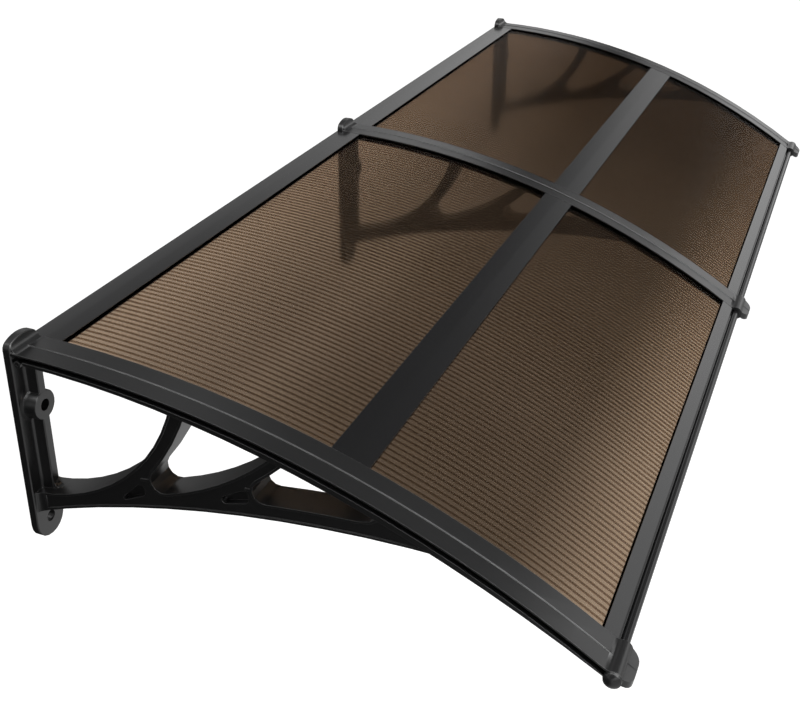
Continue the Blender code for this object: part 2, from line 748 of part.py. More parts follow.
def side_slot(side):
    """Cutter for one side's slot, with the tunnel of the front bead."""
    inner = side * half_column
    outer = side * cutter_half
    section = [(inner, FLANGE_THICK), (outer, FLANGE_THICK), (outer, slot_floor), (inner, slot_floor)]
    slot = swept("slot", [section], PLATE_THICK - GAP, BEAD_DEPTH, ARM_STEPS)
    deeper = side * (half_column - GAP)
    front = bead_centre()
    tunnel = rod("tunnel", tunnel_radius, across(front, deeper), across(front, outer + inner), 20)
    return join(slot, tunnel)


def ledge_holes(sides):
    holes = []
    for side in sides:
        for depth in screw_depths.values():
            start = across(along_arc(depth, slot_floor - SLOT_HEIGHT / 2), side * SCREW_OUT)
            end = across(along_arc(depth, arm_bottom(depth) + LEDGE_BULGE), side * SCREW_OUT)
            holes.append(rod("screw_hole", SCREW_SHANK / 2 + GAP, start, end, 8))
    return holes


def bracket_mesh(bay_sides):
    """One moulding, drilled for the bars on the sides where a bay is."""
    bracket = join(wall_plate(), column(), boss(), arm(), plate_fillet(), saddle(), nose(), arm_ridge())
    join(bracket, strut_frame())
    join(bracket, column_foot())
    cut(bracket, side_slot(-1), side_slot(1))
    join(bracket, pin())
    cut(bracket, *plate_holes())
    cut(bracket, *ledge_holes(bay_sides))
    return take_mesh(bracket)


def take_mesh(solid):
    """Smooth shading with sharp corners kept, and the mesh freed from its object."""
    mesh = solid.data
    mesh.shade_smooth()
    mesh.set_sharp_from_angle(angle=math.radians(30))
    bpy.data.objects.remove(solid, do_unlink=True)
    return mesh


# Bars


def bar_half_length():
    return half_bay - half_column - GAP


def slotted_profile(kind):
    """Two lips joined by a web, open to the front and to the back."""
    start, end = bar_spans[kind]
    web_start, web_end = web_spans[kind]
    upper = BAR_SINK + LIP_THICK
    lower = bar_bottom - LIP_THICK
    outline = arc_run(start, end, BAR_SINK, 2)
    outline += [along_arc(end, upper), along_arc(web_end, upper)]
    outline += [along_arc(web_end, lower), along_arc(end, lower)]
    outline += arc_run(end, start, bar_bottom, 2)
    outline += [along_arc(start, lower), along_arc(web_start, lower)]
    return outline + [along_arc(web_start, upper), along_arc(start, upper)]


def front_profile():
    """The front bar takes the sheet behind its web, and its top rolls over at the front."""
    start, end = bar_spans["front"]
    web_start = web_spans["front"][0]
    upper = BAR_SINK + LIP_THICK
    lower = bar_bottom - LIP_THICK
    outline = [along_arc(start, BAR_SINK)]
    for i in range(5):
        angle = math.pi / 2 * i / 4
        depth = end - FRONT_BAR_EDGE * (1 - math.sin(angle))
        outline.append(along_arc(depth, BAR_SINK + FRONT_BAR_EDGE * (1 - math.cos(angle))))
    outline += [along_arc(end, bar_bottom), along_arc(start, bar_bottom)]
    outline += [along_arc(start, lower), along_arc(web_start, lower)]
    return outline + [along_arc(web_start, upper), along_arc(start, upper)]


def flange_notches(kind):
    """Cutters that take a bar's top off where it runs in under the brackets' flanges."""
    start, end = bar_spans[kind]
    above = arc_run(start - PLATE_THICK, end + GAP, -PLATE_THICK, 2)
    outline = above + arc_run(end + GAP, start - PLATE_THICK, bar_neck, 2)
    inner = half_bay - half_arm - GAP
    return [side_prism("notch", outline, *sorted([side * inner, side * half_bay])) for side in (-1, 1)]


def rear_notches():
    """Cutters that clear the wall plates and the pins."""
    inner = half_bay - max(ARM_WIDTH, PLATE_WIDTH) / 2 - 2 * GAP
    front = PIN_DEPTH + PIN_RADIUS + GAP
    corners = [(-front, -PLATE_HEIGHT), (front, -PLATE_HEIGHT), (front, PLATE_HEIGHT), (-front, PLATE_HEIGHT)]
    return [side_prism("notch", corners, *sorted([side * inner, side * half_bay])) for side in (-1, 1)]


def bar_screw_holes(depth):
    holes = []
    for side in (-1, 1):
        x = side * (half_bay - SCREW_OUT)
        start = across(along_arc(depth, bar_bottom - 1.5 * LIP_THICK), x)
        end = across(along_arc(depth, slot_floor + LIP_THICK), x)
        holes.append(rod("hole", SCREW_SHANK / 2 + GAP, start, end, 8))
    return holes


def rear_bar_mesh():
    half = bar_half_length()
    bar = side_prism("bar", slotted_profile("rear"), -half, half)
    cut(bar, *rear_notches())
    cut(bar, *flange_notches("rear"))
    return take_mesh(cut(bar, *bar_screw_holes(screw_depths["rear"])))


def middle_bar_mesh():
    half = bar_half_length()
    bar = side_prism("bar", slotted_profile("middle"), -half, half)
    cut(bar, *flange_notches("middle"))
    return take_mesh(cut(bar, *bar_screw_holes(screw_depths["middle"])))


def front_bar_mesh():
    """The front bar ends in a round hollow bead, on a neck below its top."""
    half = bar_half_length()
    bar = side_prism("bar", front_profile(), -half, half)
    cut(bar, *flange_notches("front"))
    centre = bead_centre()
    ends = (front_face - BAR_WEB / 2, BEAD_DEPTH - BEAD_RADIUS / 2)
    neck = [along_arc(ends[0], BEAD_BELOW), along_arc(ends[1], BEAD_BELOW)]
    neck += [along_arc(ends[1], BEAD_BELOW + NECK_THICK), along_arc(ends[0], BEAD_BELOW + NECK_THICK)]
    bead = rod("bead", BEAD_RADIUS, across(centre, -half), across(centre, half), 20)
    join(bar, side_prism("neck", neck, -half, half), bead)
    bore = rod("bore", BEAD_BORE, across(centre, -half - GAP), across(centre, half + GAP), 12)
    return take_mesh(cut(bar, bore, *bar_screw_holes(screw_depths["front"])))


# Sheets, plugs and screws


def sheet_mesh(start, end):
    """Twin-wall sheet between two depths: two skins and the ribs between them."""
    width = BRACKET_SPACING - COLUMN_THICK - 2 * SHEET_SIDE_GAP
    cells = round(width / (RIB_PITCH * RIBS_PER_MODELLED))
    pitch = (width - RIB_THICK) / cells
    sag = ((end - start) / SHEET_STEPS) ** 2 / (8 * ARC_RADIUS)
    top = sheet_top - sag / 2
    under_top = top + SKIN_THICK
    bottom = top + SHEET_THICK
    over_bottom = bottom - SKIN_THICK
    ribs = [-width / 2 + i * pitch for i in range(cells + 1)]
    faces = []
    for left, right in zip(ribs, ribs[1:]):
        inside = left + RIB_THICK
        upper = [(left, under_top), (left, top), (right, top), (right, under_top), (inside, under_top)]
        lower = [(inside, over_bottom), (right, over_bottom), (right, bottom), (left, bottom)]
        faces.append(upper + lower + [(left, over_bottom)])
    last = ribs[-1]
    edge = last + RIB_THICK
    last_rib = [(last, under_top), (last, top), (edge, top), (edge, bottom)]
    faces.append(last_rib + [(last, bottom), (last, over_bottom)])
    return take_mesh(swept("sheet", faces, start, end, SHEET_STEPS))


def front_plug_mesh():
    """Cap on a front tunnel's outer end: a spigot in the tunnel and a domed head."""
    dome = circle_run((0, 0), 1, 0, math.pi / 2, 4)
    head = [(SADDLE_RADIUS * c, PLUG_REACH * s) for c, s in dome[:-1]]
    profile = [(0, -PLUG_SPIGOT), (BEAD_RADIUS, -PLUG_SPIGOT), (BEAD_RADIUS, 0)]
    plug = turned("plug", profile + head + [(0, PLUG_REACH)], 20, (0, 0, 0), (-1, 0, 0))
    return take_mesh(plug)


def screw_mesh(ledge):
    """Round-headed screw along +Z, with its head's seat at the origin, for this thickness of ledge."""
    tip = GAP + ledge + GAP + SCREW_BITE
    head_radius = SCREW_HEAD / 2
    profile = [
        (0, -SCREW_HEAD_HEIGHT),
        (head_radius * 0.7, -SCREW_HEAD_HEIGHT * 0.8),
        (head_radius, 0),
        (SCREW_SHANK / 2, 0),
        (SCREW_SHANK / 2, tip),
        (0, tip),
    ]
    return take_mesh(turned("screw", profile, 8, (0, 0, 0), (0, 0, 1)))


# Assembly


def place(name, mesh, material, location=(0, 0, 0), rotation=(0, 0, 0)):
    piece = bpy.data.objects.new(name, mesh)
    if not mesh.materials:
        mesh.materials.append(material)
    piece.location = location
    piece.rotation_euler = rotation
    bpy.context.scene.collection.objects.link(piece)
    return piece


def place_brackets(material):
    bay_sides = {"left": (1,), "middle": (-1, 1), "right": (-1,)}
    for side, x in bracket_places.items():
        place("bracket_" + side, bracket_mesh(bay_sides[side]), material, (x, 0, 0))


def place_bars(material):
    meshes = {"rear": rear_bar_mesh(), "middle": middle_bar_mesh(), "front": front_bar_mesh()}
    for kind, mesh in meshes.items():
        for side, x in bay_places.items():
            place(f"{kind}_bar_{side}", mesh, material, (x, 0, 0))


def place_sheets(material):
    rear_start = web_spans["rear"][1] + SHEET_END_GAP
    rear_end = web_spans["middle"][0] - SHEET_END_GAP
    front_first = web_spans["middle"][1] + SHEET_END_GAP
    front_last = web_spans["front"][0] - SHEET_END_GAP
    meshes = {"rear": sheet_mesh(rear_start, rear_end), "front": sheet_mesh(front_first, front_last)}
    for kind, mesh in meshes.items():
        for side, x in bay_places.items():
            place(f"{kind}_sheet_{side}", mesh, material, (x, 0, 0))


def place_plugs(material):
    mesh = front_plug_mesh()
    for side, sign in (("left", -1), ("right", 1)):
        turn = (0, 0, 0) if sign < 0 else (0, 0, math.pi)
        x = bracket_places[side] + sign * (half_arm + GAP)
        place(f"front_plug_{side}", mesh, material, across(bead_centre(), x), turn)


def place_screws(material):
    for kind, depth in screw_depths.items():
        under = arm_bottom(depth)
        mesh = screw_mesh(under - slot_floor)
        seat = along_arc(depth, under + GAP)
        for bay, middle in bay_places.items():
            for end, sign in (("a", -1), ("b", 1)):
                x = middle + sign * (half_bay - SCREW_OUT)
                turn = (arc_angle(depth), 0, 0)
                place(f"{kind}_screw_{bay}_{end}", mesh, material, across(seat, x), turn)


clear_scene()
plastic = make_material("bracket_plastic", (0.035, 0.035, 0.036), 0.42)
coated = make_material("bar_coating", (0.045, 0.045, 0.046), 0.38, metallic=0.25)
tinted = make_material("tinted_sheet", (0.16, 0.10, 0.06), 0.18, alpha=0.75)
steel = make_material("zinc_screw", (0.55, 0.55, 0.56), 0.35, metallic=1.0)
place_brackets(plastic)
place_bars(coated)
place_sheets(tinted)
place_plugs(plastic)
place_screws(steel)
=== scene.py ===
# Curved canopy over a door, seen from the left and above, on a plain white ground.
import bmesh
import bpy
import math
from mathutils import Matrix, Vector


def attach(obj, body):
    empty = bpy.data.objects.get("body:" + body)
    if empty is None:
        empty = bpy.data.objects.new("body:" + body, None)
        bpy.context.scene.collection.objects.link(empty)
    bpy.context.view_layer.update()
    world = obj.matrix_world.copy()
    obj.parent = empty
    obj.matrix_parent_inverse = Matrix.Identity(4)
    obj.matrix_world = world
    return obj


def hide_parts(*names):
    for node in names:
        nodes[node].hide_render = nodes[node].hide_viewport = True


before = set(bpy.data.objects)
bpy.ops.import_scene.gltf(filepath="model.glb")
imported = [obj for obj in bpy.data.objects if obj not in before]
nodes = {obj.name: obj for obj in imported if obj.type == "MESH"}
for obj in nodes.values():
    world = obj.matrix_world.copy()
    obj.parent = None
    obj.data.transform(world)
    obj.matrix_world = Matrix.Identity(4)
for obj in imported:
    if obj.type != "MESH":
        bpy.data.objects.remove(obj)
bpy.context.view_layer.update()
print("frame loaded")

# Helpers for objects, meshes and nodes


def newObject(name, data):
    thing = bpy.data.objects.new(name, data)
    bpy.context.scene.collection.objects.link(thing)
    return thing


def meshFrom(bm, name):
    mesh = bpy.data.meshes.new(name)
    bm.to_mesh(mesh)
    bm.free()
    return mesh


def faceAlong(thing, direction):
    thing.rotation_euler = Vector(direction).to_track_quat("-Z", "Y").to_euler()


def addNode(tree, kind, **settings):
    node = tree.nodes.new(kind)
    for name, value in settings.items():
        setattr(node, name, value)
    return node


def setInput(tree, socket, value):
    if isinstance(value, bpy.types.NodeSocket):
        tree.links.new(value, socket)
    else:
        socket.default_value = value


def mathNode(tree, operation, *values):
    node = addNode(tree, "ShaderNodeMath", operation=operation)
    for socket, value in zip(node.inputs, values):
        setInput(tree, socket, value)
    return node.outputs[0]


def vectorNode(tree, operation, *values):
    node = addNode(tree, "ShaderNodeVectorMath", operation=operation)
    for socket, value in zip(node.inputs, values):
        setInput(tree, socket, value)
    return node


def rangeNode(tree, value, start, end, low=0.0, high=1.0, smooth=False):
    node = addNode(tree, "ShaderNodeMapRange", interpolation_type="SMOOTHSTEP" if smooth else "LINEAR")
    given = {"Value": value, "From Min": start, "From Max": end, "To Min": low, "To Max": high}
    for label, number in given.items():
        setInput(tree, node.inputs[label], number)
    return node.outputs["Result"]


def mixColours(tree, share, first, second):
    node = addNode(tree, "ShaderNodeMix", data_type="RGBA")
    tree.links.new(share, node.inputs["Factor"])
    colours = [socket for socket in node.inputs if socket.type == "RGBA"]
    for socket, colour in zip(colours, (first, second)):
        setInput(tree, socket, colour)
    return [socket for socket in node.outputs if socket.type == "RGBA"][0]


def mixShaders(tree, share, first, second, surface):
    node = addNode(tree, "ShaderNodeMixShader")
    for socket, source in zip(node.inputs, (share, first, second)):
        tree.links.new(source, socket)
    tree.links.new(node.outputs[0], surface)


def rampOf(tree, share, stops, span):
    ramp = addNode(tree, "ShaderNodeValToRGB")
    while len(ramp.color_ramp.elements) < len(stops):
        ramp.color_ramp.elements.new(0.5)
    for element, (place, colour) in zip(ramp.color_ramp.elements, stops):
        element.position = (place - span[0]) / (span[1] - span[0])
        element.color = (*colour, 1)
    tree.links.new(share, ramp.inputs[0])
    return ramp.outputs["Color"]


def objectPlace(tree):
    return addNode(tree, "ShaderNodeTexCoord").outputs["Object"]


def separate(tree, vector):
    parts = addNode(tree, "ShaderNodeSeparateXYZ")
    tree.links.new(vector, parts.inputs[0])
    return parts.outputs


def combine(tree, x=0.0, y=0.0, z=0.0):
    node = addNode(tree, "ShaderNodeCombineXYZ")
    for socket, value in zip(node.inputs, (x, y, z)):
        setInput(tree, socket, value)
    return node.outputs[0]


def newTree(name, kind, inputs, outputs):
    tree = bpy.data.node_groups.new(name, kind)
    for way, sockets in (("INPUT", inputs), ("OUTPUT", outputs)):
        for label, socketKind in sockets.items():
            tree.interface.new_socket(label, in_out=way, socket_type="NodeSocket" + socketKind)
    return tree, addNode(tree, "NodeGroupInput").outputs, addNode(tree, "NodeGroupOutput").inputs


def newMaterial(name):
    material = bpy.data.materials.new(name)
    material.use_nodes = True
    tree = material.node_tree
    tree.nodes.clear()
    output = addNode(tree, "ShaderNodeOutputMaterial")
    return material, tree, output.inputs["Surface"]


# Camera: place in metres, heading and tilt in degrees, image in pixels, sensor in millimetres

cameraSettings = {
    "place": (-1.974, -0.9205, 0.80895),
    "heading": 67.53,
    "tilt": -26.08,
    "focalPixels": 1161,
    "imageSize": (800, 705),
    "centrePixel": (393, 308),
    "sensor": 36,
}


def makeCamera(values):
    heading = math.radians(values["heading"])
    tilt = math.radians(values["tilt"])
    ahead = (math.sin(heading) * math.cos(tilt), math.cos(heading) * math.cos(tilt), math.sin(tilt))
    width, height = values["imageSize"]
    lens = bpy.data.cameras.new("view")
    lens.sensor_width = values["sensor"]
    lens.lens = values["focalPixels"] / width * values["sensor"]
    lens.shift_x = (width / 2 - values["centrePixel"][0]) / width
    lens.shift_y = (values["centrePixel"][1] - height / 2) / width
    camera = newObject("view", lens)
    camera.location = values["place"]
    faceAlong(camera, ahead)
    bpy.context.scene.camera = camera


makeCamera(cameraSettings)
print("camera placed")

# Studio: floor, shaded ground, surround, world and lamps

studio = {
    "floorHeight": -2.2,
    "floorRadius": 40.0,
    "floorSides": 64,
    "floorColour": (0.8, 0.8, 0.8, 1),
    "floorGlow": 0.62,
    "shadedGroundLift": 0.01,
    "surroundRadius": 4.0,
    "surroundSides": 48,
    "surroundLift": 0.02,
    "skyLight": 0.55,
    "skySeen": 1.0,
    "lightColour": (1, 1, 1, 1),
}


def seenDirectly(tree):
    path = addNode(tree, "ShaderNodeLightPath")
    some = mathNode(tree, "MAXIMUM", path.outputs["Is Camera Ray"], path.outputs["Is Glossy Ray"])
    return mathNode(tree, "MAXIMUM", some, path.outputs["Is Transmission Ray"])


def disc(name, height, values):
    bm = bmesh.new()
    bmesh.ops.create_circle(bm, cap_ends=True, radius=values["floorRadius"], segments=values["floorSides"])
    mesh = meshFrom(bm, name)
    mesh.transform(Matrix.Translation((0, 0, height)))
    return newObject(name, mesh)


def makeFloor(values):
    floor = disc("floor", values["floorHeight"], values)
    material, tree, surface = newMaterial("paperFloor")
    matt = addNode(tree, "ShaderNodeBsdfDiffuse")
    matt.inputs["Color"].default_value = values["floorColour"]
    glow = addNode(tree, "ShaderNodeEmission")
    glow.inputs["Strength"].default_value = values["floorGlow"]
    both = addNode(tree, "ShaderNodeAddShader")
    tree.links.new(matt.outputs[0], both.inputs[0])
    tree.links.new(glow.outputs[0], both.inputs[1])
    mixShaders(tree, seenDirectly(tree), matt.outputs[0], both.outputs[0], surface)
    floor.data.materials.append(material)


# what shows through the clear sheets: place along Y on the ground, and colour
groundStops = [
    (-0.48, (0.98, 0.97, 0.95)),
    (-0.31, (0.93, 0.92, 0.90)),
    (-0.23, (0.76, 0.745, 0.72)),
    (-0.07, (0.43, 0.415, 0.395)),
    (0.09, (0.21, 0.20, 0.185)),
    (0.44, (0.195, 0.183, 0.17)),
    (0.86, (0.205, 0.193, 0.18)),
    (1.20, (0.235, 0.223, 0.21)),
    (1.45, (0.29, 0.28, 0.27)),
    (1.70, (0.41, 0.40, 0.39)),
    (1.95, (0.38, 0.37, 0.36)),
    (2.20, (0.48, 0.47, 0.46)),
    (2.45, (0.58, 0.57, 0.56)),
    (2.70, (0.78, 0.77, 0.76)),
    (2.84, (0.82, 0.81, 0.80)),
    (3.40, (0.80, 0.79, 0.78)),
]
groundSpan = (-0.5, 3.5)
# along X the ground is a little lighter under the near end
groundNear = {"from": 6.0, "to": 1.5, "extra": 0.07}


def makeShadedGround(values):
    ground = disc("shadedGround", values["floorHeight"] + values["shadedGroundLift"], values)
    ground.visible_camera = False
    ground.visible_diffuse = False
    ground.visible_glossy = False
    ground.visible_shadow = False
    material, tree, surface = newMaterial("shadedGround")
    parts = separate(tree, objectPlace(tree))
    colour = rampOf(tree, rangeNode(tree, parts["Y"], *groundSpan), groundStops, groundSpan)
    near = rangeNode(tree, parts["X"], groundNear["from"], groundNear["to"], high=groundNear["extra"])
    glow = addNode(tree, "ShaderNodeEmission")
    tree.links.new(vectorNode(tree, "ADD", colour, near).outputs[0], glow.inputs["Color"])
    tree.links.new(glow.outputs[0], surface)
    material.cycles.emission_sampling = "NONE"
    ground.data.materials.append(material)


# what reflections see: degrees about the canopy's length, from the wall side up and over, and brightness
surroundStops = {
    "near": [
        (-180, 0.50), (-155, 0.75), (-115, 0.60), (-85, 0.05), (-30, 0.02), (0, 0.15), (25, 0.60),
        (39, 0.68), (45, 0.14), (60, 0.18), (72, 0.55), (82, 0.18), (95, 0.08), (112, 0.20),
        (126, 0.18), (134, 0.08), (143, 0.05), (148, 1.50), (158, 1.45), (180, 0.50),
    ],
    "far": [
        (-180, 0.30), (-155, 0.30), (-110, 0.25), (-85, 0.05), (-30, 0.02), (0, 0.15), (25, 0.40),
        (38, 0.50), (46, 0.85), (60, 1.10), (75, 0.95), (86, 0.20), (95, 0.03), (102, 0.12),
        (115, 0.60), (128, 0.72), (139, 0.55), (147, 1.75), (160, 1.65), (180, 0.30),
    ],
}
surroundSpan = (-180, 180)
# the direction's share along X, where the near stops turn into the far ones
surroundBlend = (0.66, 0.95)

# soft lights that only reflections see: direction from the middle, inner and outer half angle, brightness
softboxes = {
    "overFront": {"towards": (-0.35, -0.60, 0.70), "inner": 15, "outer": 34, "bright": 5.0},
    "overhead": {"towards": (-0.15, 0.02, 0.98), "inner": 10, "outer": 30, "bright": 2.0},
    "groundBounce": {"towards": (0.50, -0.10, -0.86), "inner": 15, "outer": 45, "bright": 0.4},
}


def makeSoftboxGroup():
    inputs = {
        "Direction": "Vector", "Towards": "Vector", "Outer Cosine": "Float", "Inner Cosine": "Float",
        "Brightness": "Float",
    }
    group, given, result = newTree("softbox", "ShaderNodeTree", inputs, {"Light": "Float"})
    unit = vectorNode(group, "NORMALIZE", given["Towards"]).outputs[0]
    cosine = vectorNode(group, "DOT_PRODUCT", given["Direction"], unit).outputs["Value"]
    edge = (given["Outer Cosine"], given["Inner Cosine"])
    light = rangeNode(group, cosine, *edge, high=given["Brightness"], smooth=True)
    group.links.new(light, result["Light"])
    return group


def makeSurroundMesh(values):
    bm = bmesh.new()
    sides = values["surroundSides"]
    bmesh.ops.create_uvsphere(bm, u_segments=sides, v_segments=sides // 2, radius=values["surroundRadius"])
    for vert in bm.verts:
        vert.co.z = max(vert.co.z, values["floorHeight"] + values["surroundLift"])
    return meshFrom(bm, "surround")


def makeSurround(values):
    surround = newObject("surround", makeSurroundMesh(values))
    surround.visible_camera = False
    surround.visible_diffuse = False
    surround.visible_transmission = False
    surround.visible_shadow = False
    surround.visible_volume_scatter = False
    material, tree, surface = newMaterial("softboxes")
    way = vectorNode(tree, "NORMALIZE", objectPlace(tree)).outputs[0]
    parts = separate(tree, way)
    turn = mathNode(tree, "ARCTAN2", parts["Z"], parts["Y"])
    share = mathNode(tree, "MULTIPLY_ADD", turn, 1 / (2 * math.pi), 0.5)
    both = addNode(tree, "ShaderNodeMix", data_type="FLOAT")
    tree.links.new(rangeNode(tree, parts["X"], *surroundBlend, smooth=True), both.inputs["Factor"])
    for label, stops in zip(("A", "B"), surroundStops.values()):
        greys = [(angle, (bright, bright, bright)) for angle, bright in stops]
        tree.links.new(rampOf(tree, share, greys, surroundSpan), both.inputs[label])
    total = both.outputs[0]
    group = makeSoftboxGroup()
    for name, box in softboxes.items():
        light = addNode(tree, "ShaderNodeGroup", node_tree=group, name=name)
        tree.links.new(way, light.inputs["Direction"])
        light.inputs["Towards"].default_value = box["towards"]
        light.inputs["Outer Cosine"].default_value = math.cos(math.radians(box["outer"]))
        light.inputs["Inner Cosine"].default_value = math.cos(math.radians(box["inner"]))
        light.inputs["Brightness"].default_value = box["bright"]
        total = mathNode(tree, "ADD", total, light.outputs["Light"])
    glow = addNode(tree, "ShaderNodeEmission")
    tree.links.new(total, glow.inputs["Strength"])
    tree.links.new(glow.outputs[0], surface)
    material.cycles.emission_sampling = "NONE"
    surround.data.materials.append(material)


def makeWorld(values):
    world = bpy.data.worlds.new("studio")
    bpy.context.scene.world = world
    world.use_nodes = True
    tree = world.node_tree
    tree.nodes.clear()
    output = addNode(tree, "ShaderNodeOutputWorld")
    skies = []
    for strength in (values["skyLight"], values["skySeen"]):
        sky = addNode(tree, "ShaderNodeBackground")
        sky.inputs["Strength"].default_value = strength
        sky.inputs["Color"].default_value = values["lightColour"]
        skies.append(sky.outputs[0])
    mixShaders(tree, seenDirectly(tree), *skies, output.inputs["Surface"])
    bpy.context.scene.view_settings.view_transform = "Standard"


lamps = {
    "keyLamp": {"place": (-1.6, 0.4, 2.4), "aim": (0, -0.4, 0), "size": 2.0, "power": 40},
    "frontLamp": {"place": (-1.2, -2.6, 1.2), "aim": (0, -0.5, 0), "size": 1.6, "power": 25},
}


def makeLamps(allLamps):
    for name, values in allLamps.items():
        light = bpy.data.lights.new(name, "AREA")
        light.shape = "SQUARE"
        light.size = values["size"]
        light.energy = values["power"]
        lamp = newObject(name, light)
        lamp.location = values["place"]
        faceAlong(lamp, Vector(values["aim"]) - Vector(values["place"]))


makeFloor(studio)
makeShadedGround(studio)
makeSurround(studio)
makeWorld(studio)
makeLamps(lamps)
print("studio lit")

# Sizes in metres: depth counts from the wall outwards, and the arc is the upper edge of the arms

canopySizes = {
    "height": 0.3033,
    "bracketSpacing": 0.972,
    "armDrop": 0.0157,
    "arcRadius": 1.4359,
    "arcSetback": 0.0177,
}
arcRadius = canopySizes["arcRadius"]
arcDepth = -canopySizes["arcSetback"]
arcHeight = canopySizes["height"] / 2 - canopySizes["armDrop"] - math.sqrt(arcRadius**2 - arcDepth**2)

sheetSizes = {
    "width": 0.957,
    "below": 0.0031,
    "thickness": 0.004,
    "skin": 0.0006,
    "rib": 0.0007,
    "clearance": 0.00003,
    "pitch": 0.0105,
    "wave": 0.00014,
    "waveSteps": 6,
    "arcSteps": 16,
    "sharpAngle": 30,
    "spans": {"rear": (0.030, 0.4385), "front": (0.4445, 0.7665)},
    "sides": {"left": -1, "right": 1},
}
# whole cells between the outer ribs, and the pitch that they give
cells = round((sheetSizes["width"] - sheetSizes["rib"]) / sheetSizes["pitch"])
ribPitch = (sheetSizes["width"] - sheetSizes["rib"]) / cells


def arcAngle(depth):
    return math.asin((depth - arcDepth) / arcRadius)


# Finishes

grainSettings = {"detail": 2, "roughness": 0.6, "cloudDetail": 3}


def makeGrainGroup(values):
    inputs = {"Grain Size": "Float", "Stretch": "Vector", "Cloud Size": "Float"}
    outputs = {"Height": "Float", "Cloud": "Float"}
    group, given, result = newTree("fineGrain", "ShaderNodeTree", inputs, outputs)
    place = objectPlace(group)
    grain = addNode(group, "ShaderNodeTexNoise")
    grain.inputs["Detail"].default_value = values["detail"]
    grain.inputs["Roughness"].default_value = values["roughness"]
    stretched = vectorNode(group, "MULTIPLY", place, given["Stretch"]).outputs[0]
    group.links.new(stretched, grain.inputs["Vector"])
    group.links.new(given["Grain Size"], grain.inputs["Scale"])
    cloud = addNode(group, "ShaderNodeTexNoise")
    cloud.inputs["Detail"].default_value = values["cloudDetail"]
    group.links.new(place, cloud.inputs["Vector"])
    group.links.new(given["Cloud Size"], cloud.inputs["Scale"])
    group.links.new(grain.outputs["Fac"], result["Height"])
    group.links.new(cloud.outputs["Fac"], result["Cloud"])
    return group


grainGroup = makeGrainGroup(grainSettings)


def grainNode(tree, values):
    grain = addNode(tree, "ShaderNodeGroup", node_tree=grainGroup)
    grain.inputs["Grain Size"].default_value = values["grain"]
    grain.inputs["Stretch"].default_value = values["stretch"]
    grain.inputs["Cloud Size"].default_value = values["cloud"]
    return grain.outputs


def setRoughness(tree, shader, values, height):
    low, high = values["roughness"]
    tree.links.new(rangeNode(tree, height, 0, 1, low, high), shader.inputs["Roughness"])


finishes = {
    "bracketPlastic": {
        "dark": (0.003, 0.003, 0.0031), "light": (0.005, 0.005, 0.0052), "metallic": 0.0,
        "roughness": (0.27, 0.35), "specular": 0.6, "grain": 1300, "stretch": (1, 1, 1), "cloud": 6,
        "bump": 0.05, "bumpDepth": 0.0002, "edge": 0.0006, "edgeHighlight": 0.06,
    },
    "barCoating": {
        "dark": (0.008, 0.008, 0.0083), "light": (0.011, 0.011, 0.0115), "metallic": 0.0,
        "roughness": (0.15, 0.19), "specular": 0.4, "grain": 1500, "stretch": (0.05, 1, 1), "cloud": 6,
        "bump": 0.02, "bumpDepth": 0.0002, "edge": 0.0003, "edgeHighlight": 0.05,
    },
    "plugPlastic": {
        "dark": (0.009, 0.009, 0.0095), "light": (0.012, 0.012, 0.0125), "metallic": 0.0,
        "roughness": (0.2, 0.26), "specular": 0.5, "grain": 1300, "stretch": (1, 1, 1), "cloud": 6,
        "bump": 0.03, "bumpDepth": 0.0001, "edge": 0.0006, "edgeHighlight": 0.1,
    },
    "screwZinc": {
        "dark": (0.45, 0.45, 0.47), "light": (0.6, 0.6, 0.6), "metallic": 1.0,
        "roughness": (0.3, 0.42), "specular": 0.5, "grain": 2500, "stretch": (1, 1, 1), "cloud": 6,
        "bump": 0.05, "bumpDepth": 0.0001, "edge": 0.0002, "edgeHighlight": 0.6,
    },
}
# painted highlight along the arrises: cosines between the rounded normal and the face's own, where it
# starts and is full
arrisHighlight = {"samples": 6, "start": 0.995, "full": 0.90}


def makeFinish(name, values):
    material, tree, surface = newMaterial(name)
    shader = addNode(tree, "ShaderNodeBsdfPrincipled")
    shader.inputs["Metallic"].default_value = values["metallic"]
    shader.inputs["Specular IOR Level"].default_value = values["specular"]
    grain = grainNode(tree, values)
    tone = mixColours(tree, grain["Cloud"], (*values["dark"], 1), (*values["light"], 1))
    bevel = addNode(tree, "ShaderNodeBevel", samples=arrisHighlight["samples"])
    bevel.inputs["Radius"].default_value = values["edge"]
    rounded = bevel.outputs["Normal"]
    ownNormal = addNode(tree, "ShaderNodeNewGeometry").outputs["Normal"]
    meet = vectorNode(tree, "DOT_PRODUCT", rounded, ownNormal).outputs["Value"]
    # painted highlight: the base colour turns lighter grey along the arrises
    highlightMask = rangeNode(tree, meet, arrisHighlight["start"], arrisHighlight["full"], smooth=True)
    edgeHighlight = (values["edgeHighlight"], values["edgeHighlight"], values["edgeHighlight"], 1)
    tree.links.new(mixColours(tree, highlightMask, tone, edgeHighlight), shader.inputs["Base Color"])
    setRoughness(tree, shader, values, grain["Height"])
    bump = addNode(tree, "ShaderNodeBump")
    bump.inputs["Strength"].default_value = values["bump"]
    bump.inputs["Distance"].default_value = values["bumpDepth"]
    tree.links.new(grain["Height"], bump.inputs["Height"])
    tree.links.new(rounded, bump.inputs["Normal"])
    tree.links.new(bump.outputs["Normal"], shader.inputs["Normal"])
    tree.links.new(shader.outputs[0], surface)
    return material


